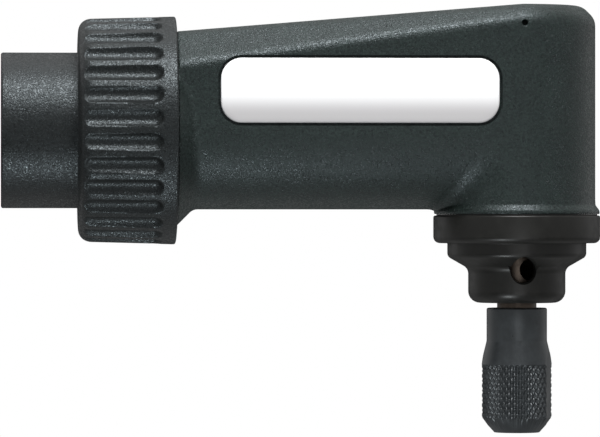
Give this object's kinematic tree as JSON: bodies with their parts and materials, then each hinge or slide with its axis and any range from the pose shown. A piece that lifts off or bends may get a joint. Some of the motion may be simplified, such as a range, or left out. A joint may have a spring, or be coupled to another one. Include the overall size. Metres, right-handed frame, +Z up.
{
  "type": "right angle attachment",
  "caption": "Right-angle drive head for a rotary tool: fluted coupling nut, moulded gear case and a collet nut at right angles to the drive.",
  "frame": {"origin": "centre of the coupling nut's open end face, on the input axis", "axes": "+X along the input shaft towards the head, +Z up, the collet points down (-Z) and the badge faces -Y"},
  "size_m": [0.0874, 0.0332, 0.0622],
  "materials": {
    "moulded_case": "moulded charcoal with a fine spark-eroded grain",
    "badge_white": "smooth white",
    "black_oxide": "black oxide on turned steel",
    "cap_black": "satin black",
    "bright_steel": "ground",
    "brown_steel": "turned and browned",
    "spring_steel": "hardened",
    "brass": "stamped",
    "rubber": "moulded"
  },
  "bodies": {
    "housing": {"gear_housing": "moulded_case", "nameplate": "badge_white", "housing_circlip": "spring_steel", "rear_bearing_outer": "bright_steel", "front_bearing_outer": "bright_steel", "bearing_spacer": "brown_steel", "upper_bearing_outer": "bright_steel", "lower_bearing_outer": "bright_steel", "bearing_cap": "cap_black", "cap_circlip": "spring_steel", "cap_o_ring": "rubber", "spindle_seal": "rubber"},
    "coupling": {"coupling_nut": "moulded_case", "coupling_snap_ring": "spring_steel"},
    "input_drive": {"drive_socket": "spring_steel", "socket_pin": "spring_steel", "input_shaft": "bright_steel", "input_circlip": "spring_steel", "rear_bearing_inner": "bright_steel", "front_bearing_inner": "bright_steel", "bevel_pinion": "bright_steel", "pinion_pin": "spring_steel"},
    "rear_cage": {"rear_bearing_cage": "brass"},
    "front_cage": {"front_bearing_cage": "brass"},
    "output_drive": {"output_spindle": "brown_steel", "bevel_gear": "bright_steel", "gear_pin": "spring_steel", "upper_bearing_inner": "bright_steel", "lower_bearing_inner": "bright_steel", "spindle_circlip": "spring_steel"},
    "upper_cage": {"upper_bearing_cage": "brass"},
    "lower_cage": {"lower_bearing_cage": "brass"},
    "collet_body": {"collet": "spring_steel"},
    "collet_nut_body": {"collet_nut": "black_oxide"}
  },
  "joints": [
    {"name": "coupling_turn", "type": "hinge", "parent": "housing", "child": "coupling", "pos_m": [0.018, 0, 0], "axis": [1, 0, 0], "continuous": true},
    {"name": "input_spin", "type": "hinge", "parent": "housing", "child": "input_drive", "pos_m": [0.045, 0, 0], "axis": [1, 0, 0], "continuous": true},
    {"name": "rear_cage_spin", "type": "hinge", "parent": "housing", "child": "rear_cage", "pos_m": [0.027, 0, 0], "axis": [1, 0, 0], "continuous": true},
    {"name": "front_cage_spin", "type": "hinge", "parent": "housing", "child": "front_cage", "pos_m": [0.0622, 0, 0], "axis": [1, 0, 0], "continuous": true},
    {"name": "output_spin", "type": "hinge", "parent": "housing", "child": "output_drive", "pos_m": [0.07525, 0, 0], "axis": [0, 0, 1], "continuous": true},
    {"name": "upper_cage_spin", "type": "hinge", "parent": "housing", "child": "upper_cage", "pos_m": [0.07525, 0, 0.012], "axis": [0, 0, 1], "continuous": true},
    {"name": "lower_cage_spin", "type": "hinge", "parent": "housing", "child": "lower_cage", "pos_m": [0.07525, 0, -0.0129], "axis": [0, 0, 1], "continuous": true},
    {"name": "collet_slide", "type": "slide", "parent": "output_drive", "child": "collet_body", "axis": [0, 0, -1], "range_m": [0, 0.00126]},
    {"name": "collet_nut_turn", "type": "hinge", "parent": "collet_body", "child": "collet_nut_body", "pos_m": [0.07525, 0, -0.035], "axis": [0, 0, -1], "range_deg": [0, 720]}
  ],
  "couplings": [
    {"joint": "output_spin", "follows": "input_spin", "ratio": 1},
    {"joint": "rear_cage_spin", "follows": "input_spin", "ratio": 0.3947},
    {"joint": "front_cage_spin", "follows": "input_spin", "ratio": 0.3947},
    {"joint": "upper_cage_spin", "follows": "input_spin", "ratio": 0.4},
    {"joint": "lower_cage_spin", "follows": "input_spin", "ratio": 0.3952},
    {"joint": "collet_nut_turn", "follows": "collet_slide", "rad_per_m": 9895.1}
  ]
}
